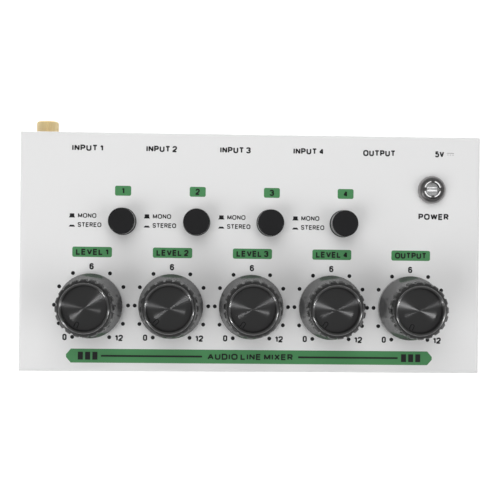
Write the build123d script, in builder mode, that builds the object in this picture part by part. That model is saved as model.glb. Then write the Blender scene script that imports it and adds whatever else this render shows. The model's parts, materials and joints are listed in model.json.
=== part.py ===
"""A small four-input desktop line mixer: folded steel case, five level controls, four push buttons.

Millimetres, +Z up. The mixer stands on its feet at z = 0. The origin is the centre of the whole outline:
x = 0 is the middle of the panel, and the earth terminal's reach behind the case counts in y.
+Y is the rear, where the sockets are, and +X is the user's right.
"""

import os
from math import cos, pi, radians, sin

from build123d import *

# ---- driving dimensions ----

PANEL_WIDTH = 147.0
PANEL_DEPTH = 76.0
CASE_HEIGHT = 30.0  # underside of the bottom plate to the top of the panel
FOOT_HEIGHT = 2.0
SHEET = 1.0  # steel thickness
MOULD_EDGE = 0.5  # chamfer on moulded bodies
FINE_EDGE = 0.3  # smallest chamfer or round
BEND_RADIUS = 1.2  # outside of the panel's folds
TERMINAL_REACH = 5.0  # how far the earth terminal stands out behind the case

CONTROL_PITCH = 25.4
CONTROL_COUNT = 5
BUTTON_PITCH = 23.4
BUTTON_COUNT = 4
JACK_PITCH = 23.4
INPUT_COUNT = 4

# heights
PLATE_UNDERSIDE = FOOT_HEIGHT
PLATE_TOP = PLATE_UNDERSIDE + SHEET
PANEL_TOP = PLATE_UNDERSIDE + CASE_HEIGHT
PANEL_UNDERSIDE = PANEL_TOP - SHEET
POT_BODY_HEIGHT = 11.3
BOARD_THICKNESS = 1.6
BOARD_TOP = PANEL_UNDERSIDE - POT_BODY_HEIGHT
BOARD_UNDERSIDE = BOARD_TOP - BOARD_THICKNESS

# plan positions
CENTRE_Y = -TERMINAL_REACH / 2
REAR_OUTER = CENTRE_Y + PANEL_DEPTH / 2
REAR_INNER = REAR_OUTER - SHEET
CONTROL_SETBACK = 17.0  # panel's middle to the row of level controls
BUTTON_SETBACK = 9.75
LAMP_SETBACK = 20.9
CONTROL_Y = CENTRE_Y - CONTROL_SETBACK
BUTTON_Y = CENTRE_Y + BUTTON_SETBACK
BUTTON_ROW_CENTRE = -5.85
JACK_ROW_CENTRE = -17.2  # middle of the four inputs
LAMP_X = 57.6
LAMP_Y = CENTRE_Y + LAMP_SETBACK
POWER_X = 61.0
TERMINAL_X = -67.3
TERMINAL_DROP = 16.0  # panel's top to the terminal's axis
TERMINAL_Z = PANEL_TOP - TERMINAL_DROP

CONTROL_XS = [CONTROL_PITCH * (n - (CONTROL_COUNT - 1) / 2) for n in range(CONTROL_COUNT)]
BUTTON_XS = [
    BUTTON_ROW_CENTRE + BUTTON_PITCH * (n - (BUTTON_COUNT - 1) / 2) for n in range(BUTTON_COUNT)
]
INPUT_XS = [JACK_ROW_CENTRE + JACK_PITCH * (n - (INPUT_COUNT - 1) / 2) for n in range(INPUT_COUNT)]
OUTPUT_X = INPUT_XS[-1] + JACK_PITCH

# where each control's pointer stands, in degrees clockwise from the front-to-back line's rear end
POINTER_ANGLES = [-155.0, -136.0, -147.0, -143.0, -155.0]

# knobs: heights are above the panel
KNOB_GAP = 0.8  # panel to the skirt's lower edge
SKIRT_RADIUS = 10.2
SKIRT_EDGE_TOP = 2.6
SKIRT_CURVE = (8.55, 5.8)  # radius and height of a point on the skirt's hollow curve
WAIST_RADIUS = 7.6
WAIST_HEIGHT = 12.2
GRIP_FOOT = 13.4
GRIP_RADIUS = 8.9
GRIP_TOP = 16.5
SHOULDER_CURVE = (8.6, 17.15)
SHOULDER_RADIUS = 7.95
SHOULDER_TOP = 17.5
FLUTE_COUNT = 20
FLUTE_RADIUS = 0.55
FLUTE_CIRCLE = 8.8
FLUTE_EDGE = 0.2
KNOB_CAVITY_FOOT_RADIUS = 8.4
KNOB_CAVITY_RADIUS = 6.3
KNOB_CAVITY_NECK = 6.0
KNOB_CAVITY_TOP = 9.6
KNOB_BOSS_RADIUS = 4.7
KNOB_BOSS_FOOT = 5.4

# spun discs set into the knobs: a dished cup with a beaded rim
DISC_SEAT = 15.2
DISC_OUTER_RADIUS = 7.65
DISC_RIM_RADIUS = 7.33
DISC_RIM_HEIGHT = 18.0
DISC_RIM_INNER_RADIUS = 6.98
DISC_RIM_DROP = 0.25
DISC_FLAT_RADIUS = 6.6
DISC_THICKNESS = 0.9
POINTER_RADIUS = 0.7  # outside of the horseshoe
POINTER_GROOVE_WIDTH = 0.35
POINTER_GROOVE_DEPTH = 0.3
POINTER_INSET = 1.4  # edge of the flat to the middle of the horseshoe's bend
POINTER_LEG = 1.15

# potentiometers
POT_WIDTH = 9.8
POT_DEPTH = 11.9
BUSH_RADIUS = 3.5
BUSH_TOP = 4.5  # above the panel
SHAFT_RADIUS = 3.0
SHAFT_TOP = 12.8
SHAFT_FOOT = 9.0  # how far the shaft reaches down into the body
RUNNING_GAP = 0.05
PANEL_HOLE_GAP = 0.2
POT_WASHER_RADIUS = 5.6
POT_WASHER_THICKNESS = 0.5
POT_NUT_ACROSS_FLATS = 10.0
POT_NUT_HEIGHT = 2.0
SHAFT_END_GAP = 0.3  # clearance above the shaft's end in the knob
SHAFT_CHAMFER = 0.6
SHAFT_SLOT_WIDTH = 1.0
SHAFT_SLOT_DEPTH = 6.0

# push buttons
CAP_RADIUS = 4.15
CAP_TOP = 5.8  # above the panel
CAP_REACH = 1.1  # below the panel's underside
CAP_WALL = 1.0
CAP_EDGE_RADIUS = 0.45
CAP_SOCKET_WALL = 0.6
CAP_HOLE_RADIUS = 4.35
BUTTON_TRAVEL = 2.2
PLUNGER_SIDE = 3.2
PLUNGER_GRIP = 3.6  # length of plunger inside the cap
SWITCH_SIDE = 8.4
SWITCH_HEIGHT = 6.4
SWITCH_FLOOR = 1.0
SWITCH_SLOT_GAP = 0.08

# power lamp
BEZEL_RADIUS = 4.4
BEZEL_WALL_HEIGHT = 0.7  # panel to the foot of the rounded rim
BEZEL_RIM_CURVE = (4.15, 1.75)
BEZEL_RIM_RADIUS = 3.5
BEZEL_HEIGHT = 2.4
BEZEL_THROAT_EDGE = 0.2
BEZEL_TUBE_RADIUS = 3.9
BEZEL_TUBE_DEPTH = 7.5  # below the panel's top
LAMP_RADIUS = 2.5
LAMP_THROAT_RADIUS = 2.9
LAMP_FLANGE_RADIUS = 2.95
LAMP_FLANGE_HEIGHT = 1.0
LAMP_TOP = 1.9  # above the panel
LAMP_LENGTH = 8.6
LAMP_LEAD_SIDE = 0.5
LAMP_LEAD_PITCH = 2.54
LAMP_LEAD_HOLE_RADIUS = 0.5
LAMP_LEAD_EMBED = 0.5  # how far the leads reach into the lens
BEZEL_NUT_ACROSS_FLATS = 10.5
BEZEL_NUT_HEIGHT = 2.0

# sockets
JACK_WIDTH = 15.6
JACK_HEIGHT = 13.6
JACK_LENGTH = 27.0
JACK_BORE_RADIUS = 3.25
JACK_WALL_GAP = 0.1
JACK_HOLE_RADIUS = 4.9  # in the rear wall
JACK_Z = BOARD_UNDERSIDE - JACK_HEIGHT / 2
JACK_BEZEL_STEP = 0.5
CONTACT_WIDTH = 2.4
CONTACT_THICKNESS = 0.4
CONTACT_LENGTH = 8.0
CONTACT_OFFSETS = (5.0, 15.0)  # jack's mouth to each slot
CONTACT_LIFT = 0.8  # bore's surface to the spring's middle
SLOT_CLEARANCE = 0.5  # round a contact spring
JACK_SLOT_COVER = 1.0  # wall left outside a slot
POWER_WIDTH = 9.0
POWER_HEIGHT = 11.0
POWER_LENGTH = 14.0
POWER_BORE_RADIUS = 2.85
POWER_BORE_DEPTH = 9.5
POWER_PIN_RADIUS = 1.0
POWER_PIN_RECESS = 0.6
POWER_HOLE_RADIUS = 4.0
POWER_DROP = 5.6  # board's underside to the socket's axis
POWER_Z = BOARD_UNDERSIDE - POWER_DROP

# earth terminal
FLANGE_RADIUS = 3.75
FLANGE_THICKNESS = 0.7
WASHER_RADIUS = 3.4
WASHER_THICKNESS = 0.4
STUD_RADIUS = 2.0
STUD_INSIDE = 5.5  # length of stud inside the case
STUD_END_RECESS = 0.4  # nut's rear face to the stud's end
THUMB_NUT_RADIUS = 3.6
THUMB_NUT_CHAMFER = 0.5
KNURL_COUNT = 36
KNURL_SIDE = 0.32
KNURL_TURN = 45  # degrees: a corner of each square cut points at the axis
LUG_THICKNESS = 0.5
LUG_RADIUS = 3.4
LUG_TAIL_WIDTH = 2.6
LUG_TAIL_LENGTH = 8.0
INNER_NUT_ACROSS_FLATS = 7.0
INNER_NUT_HEIGHT = 3.0
WIRE_RADIUS = 0.55
WIRE_HOLE_RADIUS = 0.6
WIRE_BEND = 4.0
WIRE_JACK_GAP = 6.0  # first jack's inner end to the wire
WIRE_END_OFFSET = 4.0  # first jack's axis to the wire's end

# board, standoffs, screws, feet
BOARD_LEFT = -61.0
BOARD_RIGHT = 69.5
BOARD_FRONT = -37.5
BOARD_REAR = 34.0
BOARD_CORNER_RADIUS = 1.0
SCREW_RADIUS = 1.45
SCREW_HOLE_RADIUS = 1.5
SCREW_CLEARANCE_RADIUS = 1.65
SCREW_HEAD_RADIUS = 2.7
SCREW_HEAD_HEIGHT = 1.3
SCREW_HEAD_EDGE = 0.5
SCREW_SLOT_RADIUS = 0.35  # half-width of the cross recess
SCREW_SLOT_LENGTH = 2.6
SCREW_SLOT_DEPTH = 0.7
PLATE_SCREW_LENGTH = 5.0
BOARD_SCREW_LENGTH = 5.5
STANDOFF_ACROSS_FLATS = 5.5
STANDOFF_FRONT_Y = -32.5
STANDOFF_REAR_Y = 19.5
STANDOFF_POINTS = [
    (-1.5 * CONTROL_PITCH, STANDOFF_FRONT_Y),
    (1.5 * CONTROL_PITCH, STANDOFF_FRONT_Y),
    (INPUT_XS[0] + JACK_PITCH / 2, STANDOFF_REAR_Y),
    (OUTPUT_X - JACK_PITCH / 2, STANDOFF_REAR_Y),
]
PLATE_GAP = 0.15
TAB_LENGTH = 8.0
TAB_WIDTH = 8.0
TAB_SCREW_INSET = 5.5  # case side to the screw's axis
TAB_SPACING = 56.0  # front tabs to rear tabs
TAB_POINTS = [
    (side * (PANEL_WIDTH / 2 - TAB_SCREW_INSET), CENTRE_Y + row * TAB_SPACING / 2)
    for side in (-1, 1)
    for row in (-1, 1)
]
FOOT_RADIUS = 4.5
FOOT_EDGE = 0.6
FOOT_SPACING = (115.0, 60.0)
FOOT_POINTS = [
    (side * FOOT_SPACING[0] / 2, CENTRE_Y + row * FOOT_SPACING[1] / 2)
    for side in (-1, 1)
    for row in (-1, 1)
]
SEAM_WIDTH = 0.3
SEAM_CUT_LENGTH = 4.0
SEAM_DROP = 2.4  # panel's top to the seam's end

# parts on the board
CHIP_SIZE = (9.2, 6.4, 3.2)
CHIP_Y = -6.5
CHIP_POINTS = [(x, CHIP_Y) for x in CONTROL_XS]
CAPACITOR_RADIUS = 2.5
CAPACITOR_HEIGHT = 7.0
CAPACITOR_Y = -29.5
CAPACITOR_SPACING = 8.0
CAPACITOR_POINTS = [
    (x + side * CAPACITOR_SPACING / 2, CAPACITOR_Y) for x in CONTROL_XS for side in (-1, 1)
]
PIN_DEPTH = 1.4  # how far solder pins reach below the board


def upright(x, y, z):
    """A plane facing the front, for profiles turned about a vertical axis: x is radius, y is height."""
    return Plane(origin=(x, y, z), x_dir=(1, 0, 0), z_dir=(0, -1, 0))


def rearward(x, y, z):
    """A plane facing the rear, for what stands out behind the case: its y is up."""
    return Plane(origin=(x, y, z), x_dir=(-1, 0, 0), z_dir=(0, 1, 0))


def vertical(x, y):
    """The vertical line through a plan position."""
    return Axis((x, y, 0), (0, 0, 1))


os.makedirs("parts", exist_ok=True)

# ---- housing cover: the panel and its four walls, folded from one sheet ----

CASE_CORNERS = [
    (sx * PANEL_WIDTH / 2, CENTRE_Y + sy * PANEL_DEPTH / 2, sx, sy) for sx in (-1, 1) for sy in (-1, 1)
]
JACK_XS = [*INPUT_XS, OUTPUT_X]

with BuildPart() as housing_cover:
    with BuildSketch(Plane.XY.offset(PLATE_UNDERSIDE)):
        with Locations((0, CENTRE_Y)):
            Rectangle(PANEL_WIDTH, PANEL_DEPTH)
    extrude(amount=CASE_HEIGHT)
    fillet(housing_cover.faces().sort_by(Axis.Z)[-1].edges(), BEND_RADIUS)
    with BuildSketch(Plane.XY.offset(PLATE_UNDERSIDE)):
        with Locations((0, CENTRE_Y)):
            Rectangle(PANEL_WIDTH - 2 * SHEET, PANEL_DEPTH - 2 * SHEET)
    extrude(amount=CASE_HEIGHT - SHEET, mode=Mode.SUBTRACT)
    # tabs turned in from the side walls, which the bottom plate is screwed to
    with BuildSketch(Plane.XY.offset(PLATE_TOP)):
        for tab_x, tab_y in TAB_POINTS:
            side = 1 if tab_x > 0 else -1
            with Locations((side * (PANEL_WIDTH / 2 - SHEET / 2 - TAB_WIDTH / 2), tab_y)):
                Rectangle(TAB_WIDTH, TAB_LENGTH)
        with Locations(*TAB_POINTS):
            Circle(SCREW_HOLE_RADIUS, mode=Mode.SUBTRACT)
    extrude(amount=SHEET)
    # holes in the panel
    with BuildSketch(Plane.XY.offset(PANEL_UNDERSIDE)):
        with Locations(*[(x, CONTROL_Y) for x in CONTROL_XS]):
            Circle(BUSH_RADIUS + PANEL_HOLE_GAP)
        with Locations(*[(x, BUTTON_Y) for x in BUTTON_XS]):
            Circle(CAP_HOLE_RADIUS)
        with Locations((LAMP_X, LAMP_Y)):
            Circle(BEZEL_TUBE_RADIUS + PANEL_HOLE_GAP / 2)
    extrude(amount=SHEET, mode=Mode.SUBTRACT)
    # holes in the rear wall
    with BuildSketch(rearward(0, REAR_INNER, 0)):
        with Locations(*[(-x, JACK_Z) for x in JACK_XS]):
            Circle(JACK_HOLE_RADIUS)
        with Locations((-POWER_X, POWER_Z)):
            Circle(POWER_HOLE_RADIUS)
        with Locations((-TERMINAL_X, TERMINAL_Z)):
            Circle(STUD_RADIUS + RUNNING_GAP)
    extrude(amount=SHEET, mode=Mode.SUBTRACT)
    # the open seams at the corners, which end below the fold
    for corner_x, corner_y, sx, sy in CASE_CORNERS:
        seam = Plane(origin=(corner_x, corner_y, PLATE_UNDERSIDE), x_dir=(sx, sy, 0), z_dir=(0, 0, 1))
        with BuildSketch(seam):
            Rectangle(SEAM_CUT_LENGTH, SEAM_WIDTH)
        extrude(amount=CASE_HEIGHT - SEAM_DROP, mode=Mode.SUBTRACT)
housing_cover.part.label = "housing_cover"
export_step(housing_cover.part, "parts/housing_cover.step")

# ---- bottom plate: a flat sheet inside the walls ----

with BuildPart() as bottom_plate:
    with BuildSketch(Plane.XY.offset(PLATE_UNDERSIDE)):
        with Locations((0, CENTRE_Y)):
            Rectangle(
                PANEL_WIDTH - 2 * (SHEET + PLATE_GAP),
                PANEL_DEPTH - 2 * (SHEET + PLATE_GAP),
            )
        with Locations(*TAB_POINTS, *STANDOFF_POINTS):
            Circle(SCREW_CLEARANCE_RADIUS, mode=Mode.SUBTRACT)
    extrude(amount=SHEET)
bottom_plate.part.label = "bottom_plate"
export_step(bottom_plate.part, "parts/bottom_plate.step")

# ---- rubber feet ----

with BuildPart() as rubber_feet:
    with BuildSketch():
        with Locations(*FOOT_POINTS):
            Circle(FOOT_RADIUS)
    extrude(amount=FOOT_HEIGHT)
    chamfer(rubber_feet.faces().group_by(Axis.Z)[0].edges(), FOOT_EDGE)
rubber_feet.part.label = "rubber_feet"
export_step(rubber_feet.part, "parts/rubber_feet.step")


# ---- screws: pan heads with a cross recess ----


def screw_group(points, seat, head_side, length):
    """Pan-head screws on a row of plan points. head_side is -1 for heads below the seat, 1 for above."""
    with BuildPart() as group:
        for x, y in points:
            profile = Plane(origin=(x, y, seat), x_dir=(1, 0, 0), z_dir=(0, -head_side, 0))
            with BuildSketch(profile):
                with BuildLine():
                    Polyline(
                        (0, -length),
                        (SCREW_RADIUS, -length),
                        (SCREW_RADIUS, 0),
                        (SCREW_HEAD_RADIUS, 0),
                        (SCREW_HEAD_RADIUS, SCREW_HEAD_HEIGHT - SCREW_HEAD_EDGE),
                        (SCREW_HEAD_RADIUS - SCREW_HEAD_EDGE, SCREW_HEAD_HEIGHT),
                        (0, SCREW_HEAD_HEIGHT),
                        close=True,
                    )
                make_face()
            revolve(axis=vertical(x, y))
        crest = seat + head_side * SCREW_HEAD_HEIGHT
        with BuildSketch(Plane.XY.offset(crest)):
            with Locations(*points):
                Rectangle(SCREW_SLOT_LENGTH, 2 * SCREW_SLOT_RADIUS)
                Rectangle(2 * SCREW_SLOT_RADIUS, SCREW_SLOT_LENGTH)
        extrude(amount=-head_side * SCREW_SLOT_DEPTH, mode=Mode.SUBTRACT)
    return group


plate_screws = screw_group([*TAB_POINTS, *STANDOFF_POINTS], PLATE_UNDERSIDE, -1, PLATE_SCREW_LENGTH)
plate_screws.part.label = "plate_screws"
export_step(plate_screws.part, "parts/plate_screws.step")

board_screws = screw_group(STANDOFF_POINTS, BOARD_TOP, 1, BOARD_SCREW_LENGTH)
board_screws.part.label = "board_screws"
export_step(board_screws.part, "parts/board_screws.step")

# ---- standoffs between the bottom plate and the board ----

with BuildPart() as board_standoffs:
    with BuildSketch(Plane.XY.offset(PLATE_TOP)):
        with Locations(*STANDOFF_POINTS):
            RegularPolygon(STANDOFF_ACROSS_FLATS / 2, 6, major_radius=False)
            Circle(SCREW_HOLE_RADIUS, mode=Mode.SUBTRACT)
    extrude(amount=BOARD_UNDERSIDE - PLATE_TOP)
board_standoffs.part.label = "board_standoffs"
export_step(board_standoffs.part, "parts/board_standoffs.step")

# ---- main circuit board ----

with BuildPart() as main_board:
    with BuildSketch(Plane.XY.offset(BOARD_UNDERSIDE)):
        with Locations(((BOARD_LEFT + BOARD_RIGHT) / 2, (BOARD_FRONT + BOARD_REAR) / 2)):
            RectangleRounded(
                BOARD_RIGHT - BOARD_LEFT, BOARD_REAR - BOARD_FRONT, BOARD_CORNER_RADIUS
            )
        with Locations(*STANDOFF_POINTS):
            Circle(SCREW_CLEARANCE_RADIUS, mode=Mode.SUBTRACT)
        with Locations(
            (LAMP_X - LAMP_LEAD_PITCH / 2, LAMP_Y),
            (LAMP_X + LAMP_LEAD_PITCH / 2, LAMP_Y),
        ):
            Circle(LAMP_LEAD_HOLE_RADIUS, mode=Mode.SUBTRACT)
    extrude(amount=BOARD_THICKNESS)
main_board.part.label = "main_board"
export_step(main_board.part, "parts/main_board.step")

# ---- parts soldered under the board ----

with BuildPart() as amplifier_chips:
    with BuildSketch(Plane.XY.offset(BOARD_UNDERSIDE)):
        with Locations(*CHIP_POINTS):
            Rectangle(CHIP_SIZE[0], CHIP_SIZE[1])
    extrude(amount=-CHIP_SIZE[2])
amplifier_chips.part.label = "amplifier_chips"
export_step(amplifier_chips.part, "parts/amplifier_chips.step")

with BuildPart() as capacitors:
    with BuildSketch(Plane.XY.offset(BOARD_UNDERSIDE)):
        with Locations(*CAPACITOR_POINTS):
            Circle(CAPACITOR_RADIUS)
    extrude(amount=-CAPACITOR_HEIGHT)
    fillet(capacitors.faces().group_by(Axis.Z)[0].edges(), FINE_EDGE)
capacitors.part.label = "capacitors"
export_step(capacitors.part, "parts/capacitors.step")


# ---- level controls: potentiometer, washer, nut, shaft, knob and disc ----


def potentiometer(x):
    """Dual-gang body on the board, with the threaded bush that goes through the panel."""
    with BuildPart() as body:
        with BuildSketch(Plane.XY.offset(BOARD_TOP)):
            with Locations((x, CONTROL_Y)):
                Rectangle(POT_WIDTH, POT_DEPTH)
        extrude(amount=POT_BODY_HEIGHT)
        chamfer(body.edges().filter_by(Axis.Z), MOULD_EDGE)
        with BuildSketch(Plane.XY.offset(PANEL_UNDERSIDE)):
            with Locations((x, CONTROL_Y)):
                Circle(BUSH_RADIUS)
        extrude(amount=SHEET + BUSH_TOP)
        with BuildSketch(Plane.XY.offset(PANEL_TOP - SHAFT_FOOT - RUNNING_GAP)):
            with Locations((x, CONTROL_Y)):
                Circle(SHAFT_RADIUS + RUNNING_GAP)
        extrude(amount=SHAFT_FOOT + BUSH_TOP + RUNNING_GAP, mode=Mode.SUBTRACT)
    return body


def pot_shaft(x):
    """The turning shaft, with the flat slot in its splined end."""
    with BuildPart() as shaft:
        with BuildSketch(Plane.XY.offset(PANEL_TOP - SHAFT_FOOT)):
            with Locations((x, CONTROL_Y)):
                Circle(SHAFT_RADIUS)
        extrude(amount=SHAFT_FOOT + SHAFT_TOP)
        chamfer(shaft.faces().sort_by(Axis.Z)[-1].edges(), SHAFT_CHAMFER)
        with BuildSketch(Plane.XY.offset(PANEL_TOP + SHAFT_TOP)):
            with Locations((x, CONTROL_Y)):
                Rectangle(2 * SHAFT_RADIUS, SHAFT_SLOT_WIDTH)
        extrude(amount=-SHAFT_SLOT_DEPTH, mode=Mode.SUBTRACT)
    return shaft


def knob(x, pointer_angle):
    """Hollow-curved skirt, narrow waist and fluted grip. The flutes turn with the pointer."""
    with BuildPart() as body:
        # the fluted grip, under a rounded shoulder
        with BuildSketch(Plane.XY.offset(PANEL_TOP + GRIP_FOOT)) as outline:
            with Locations((x, CONTROL_Y)):
                Circle(GRIP_RADIUS)
                with PolarLocations(FLUTE_CIRCLE, FLUTE_COUNT, start_angle=-pointer_angle):
                    Circle(FLUTE_RADIUS, mode=Mode.SUBTRACT)
            fillet(outline.vertices(), FLUTE_EDGE)
        extrude(amount=SHOULDER_TOP - GRIP_FOOT)
        with BuildSketch(upright(x, CONTROL_Y, PANEL_TOP)):
            with BuildLine():
                Polyline(
                    (0, SHOULDER_TOP), (0, GRIP_FOOT), (GRIP_RADIUS, GRIP_FOOT), (GRIP_RADIUS, GRIP_TOP)
                )
                ThreePointArc(
                    (GRIP_RADIUS, GRIP_TOP), SHOULDER_CURVE, (SHOULDER_RADIUS, SHOULDER_TOP)
                )
                Line((SHOULDER_RADIUS, SHOULDER_TOP), (0, SHOULDER_TOP))
            make_face()
        revolve(axis=vertical(x, CONTROL_Y), mode=Mode.INTERSECT)
        # the skirt and waist below it
        with BuildSketch(upright(x, CONTROL_Y, PANEL_TOP)):
            with BuildLine():
                Polyline((0, KNOB_GAP), (SKIRT_RADIUS, KNOB_GAP), (SKIRT_RADIUS, SKIRT_EDGE_TOP))
                ThreePointArc(
                    (SKIRT_RADIUS, SKIRT_EDGE_TOP), SKIRT_CURVE, (WAIST_RADIUS, WAIST_HEIGHT)
                )
                Polyline(
                    (WAIST_RADIUS, WAIST_HEIGHT),
                    (SHOULDER_RADIUS, GRIP_FOOT),
                    (SHOULDER_RADIUS, GRIP_TOP),
                    (0, GRIP_TOP),
                    (0, KNOB_GAP),
                )
            make_face()
        revolve(axis=vertical(x, CONTROL_Y))
        # the recess for the disc, the cavity over the nut, and the shaft's bore
        with BuildSketch(upright(x, CONTROL_Y, PANEL_TOP)):
            with Locations((DISC_OUTER_RADIUS / 2, (DISC_SEAT + SHOULDER_TOP) / 2)):
                Rectangle(DISC_OUTER_RADIUS, SHOULDER_TOP - DISC_SEAT)
            bore = SHAFT_RADIUS + RUNNING_GAP
            with BuildLine():
                Polyline(
                    (0, KNOB_GAP),
                    (KNOB_CAVITY_FOOT_RADIUS, KNOB_GAP),
                    (KNOB_CAVITY_RADIUS, KNOB_CAVITY_NECK),
                    (KNOB_CAVITY_RADIUS, KNOB_CAVITY_TOP),
                    (KNOB_BOSS_RADIUS, KNOB_CAVITY_TOP),
                    (KNOB_BOSS_RADIUS, KNOB_BOSS_FOOT),
                    (bore, KNOB_BOSS_FOOT),
                    (bore, SHAFT_TOP + SHAFT_END_GAP),
                    (0, SHAFT_TOP + SHAFT_END_GAP),
                    close=True,
                )
            make_face()
        revolve(axis=vertical(x, CONTROL_Y), mode=Mode.SUBTRACT)
    return body


def knob_disc(x, pointer_angle):
    """The spun metal cup in the knob's top, with the pointer pressed into the edge of its flat."""
    floor = DISC_SEAT + DISC_THICKNESS
    heading = radians(pointer_angle)
    towards = (sin(heading), cos(heading))
    reach = DISC_FLAT_RADIUS - POINTER_INSET
    marker = Plane(
        origin=(x + reach * towards[0], CONTROL_Y + reach * towards[1], PANEL_TOP + floor),
        x_dir=(towards[0], towards[1], 0),
        z_dir=(0, 0, 1),
    )
    with BuildPart() as disc:
        with BuildSketch(upright(x, CONTROL_Y, PANEL_TOP)):
            with BuildLine():
                rim_outside = (DISC_OUTER_RADIUS, DISC_RIM_HEIGHT - DISC_RIM_DROP)
                rim_inside = (DISC_RIM_INNER_RADIUS, DISC_RIM_HEIGHT - DISC_RIM_DROP)
                Polyline((0, floor), (0, DISC_SEAT), (DISC_OUTER_RADIUS, DISC_SEAT), rim_outside)
                ThreePointArc(rim_outside, (DISC_RIM_RADIUS, DISC_RIM_HEIGHT), rim_inside)
                Polyline(rim_inside, (DISC_FLAT_RADIUS, floor), (0, floor))
            make_face()
        revolve(axis=vertical(x, CONTROL_Y))
        # a horseshoe whose legs point at the disc's edge
        inside = POINTER_RADIUS - POINTER_GROOVE_WIDTH
        with BuildSketch(marker):
            Circle(POINTER_RADIUS)
            with Locations((POINTER_LEG / 2, 0)):
                Rectangle(POINTER_LEG, 2 * POINTER_RADIUS)
            Circle(inside, mode=Mode.SUBTRACT)
            with Locations((POINTER_LEG / 2, 0)):
                Rectangle(POINTER_LEG, 2 * inside, mode=Mode.SUBTRACT)
        extrude(amount=-POINTER_GROOVE_DEPTH, mode=Mode.SUBTRACT)
    return disc


for number, control_x in enumerate(CONTROL_XS, start=1):
    angle = POINTER_ANGLES[number - 1]

    pot_body = potentiometer(control_x)
    pot_body.part.label = f"pot_body_{number}"
    export_step(pot_body.part, f"parts/pot_body_{number}.step")

    turning_shaft = pot_shaft(control_x)
    turning_shaft.part.label = f"pot_shaft_{number}"
    export_step(turning_shaft.part, f"parts/pot_shaft_{number}.step")

    level_knob = knob(control_x, angle)
    level_knob.part.label = f"knob_{number}"
    export_step(level_knob.part, f"parts/knob_{number}.step")

    top_disc = knob_disc(control_x, angle)
    top_disc.part.label = f"knob_disc_{number}"
    export_step(top_disc.part, f"parts/knob_disc_{number}.step")

with BuildPart() as pot_washers:
    with BuildSketch(Plane.XY.offset(PANEL_TOP)):
        with Locations(*[(x, CONTROL_Y) for x in CONTROL_XS]):
            Circle(POT_WASHER_RADIUS)
            Circle(BUSH_RADIUS + RUNNING_GAP, mode=Mode.SUBTRACT)
    extrude(amount=POT_WASHER_THICKNESS)
pot_washers.part.label = "pot_washers"
export_step(pot_washers.part, "parts/pot_washers.step")

with BuildPart() as pot_nuts:
    with BuildSketch(Plane.XY.offset(PANEL_TOP + POT_WASHER_THICKNESS)):
        with Locations(*[(x, CONTROL_Y) for x in CONTROL_XS]):
            RegularPolygon(POT_NUT_ACROSS_FLATS / 2, 6, major_radius=False)
            Circle(BUSH_RADIUS + RUNNING_GAP, mode=Mode.SUBTRACT)
    extrude(amount=POT_NUT_HEIGHT)
pot_nuts.part.label = "pot_nuts"
export_step(pot_nuts.part, "parts/pot_nuts.step")


# ---- push buttons: switch body, plunger and cap ----

CAP_FOOT = PANEL_UNDERSIDE - CAP_REACH
SWITCH_TOP = BOARD_TOP + SWITCH_HEIGHT
PLUNGER_FOOT = BOARD_TOP + SWITCH_FLOOR + BUTTON_TRAVEL + 2 * SWITCH_SLOT_GAP


def switch_body(x):
    """The latching switch's case, with the square well that its plunger slides in."""
    with BuildPart() as body:
        with BuildSketch(Plane.XY.offset(BOARD_TOP)):
            with Locations((x, BUTTON_Y)):
                Rectangle(SWITCH_SIDE, SWITCH_SIDE)
        extrude(amount=SWITCH_HEIGHT)
        chamfer(body.faces().sort_by(Axis.Z)[-1].edges(), FINE_EDGE)
        with BuildSketch(Plane.XY.offset(BOARD_TOP + SWITCH_FLOOR)):
            with Locations((x, BUTTON_Y)):
                well = PLUNGER_SIDE + 2 * SWITCH_SLOT_GAP
                Rectangle(well, well)
        extrude(amount=SWITCH_HEIGHT - SWITCH_FLOOR, mode=Mode.SUBTRACT)
    return body


def switch_plunger(x):
    """The square stem between the switch's inside and the cap."""
    with BuildPart() as stem:
        with BuildSketch(Plane.XY.offset(PLUNGER_FOOT)):
            with Locations((x, BUTTON_Y)):
                Rectangle(PLUNGER_SIDE, PLUNGER_SIDE)
        extrude(amount=CAP_FOOT + PLUNGER_GRIP - PLUNGER_FOOT)
    return stem


def button_cap(x):
    """A round cap, hollow below, with a square socket for the stem and a rounded edge."""
    top = PANEL_TOP + CAP_TOP
    socket = PLUNGER_SIDE + 2 * CAP_SOCKET_WALL
    with BuildPart() as cap:
        with BuildSketch(Plane.XY.offset(CAP_FOOT)):
            with Locations((x, BUTTON_Y)):
                Circle(CAP_RADIUS)
        extrude(amount=top - CAP_FOOT)
        fillet(cap.edges().filter_by(GeomType.CIRCLE).sort_by(Axis.Z)[-1], CAP_EDGE_RADIUS)
        with BuildSketch(Plane.XY.offset(CAP_FOOT)):
            with Locations((x, BUTTON_Y)):
                Circle(CAP_RADIUS - CAP_WALL)
                Rectangle(socket, socket, mode=Mode.SUBTRACT)
                Rectangle(PLUNGER_SIDE, PLUNGER_SIDE)
        extrude(amount=PLUNGER_GRIP, mode=Mode.SUBTRACT)
    return cap


for number, button_x in enumerate(BUTTON_XS, start=1):
    case = switch_body(button_x)
    case.part.label = f"switch_body_{number}"
    export_step(case.part, f"parts/switch_body_{number}.step")

    stem = switch_plunger(button_x)
    stem.part.label = f"switch_plunger_{number}"
    export_step(stem.part, f"parts/switch_plunger_{number}.step")

    cap = button_cap(button_x)
    cap.part.label = f"button_cap_{number}"
    export_step(cap.part, f"parts/button_cap_{number}.step")

# ---- power lamp: bezel, nut and light-emitting diode ----

LAMP_FOOT = PANEL_TOP + LAMP_TOP - LAMP_LENGTH

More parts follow.
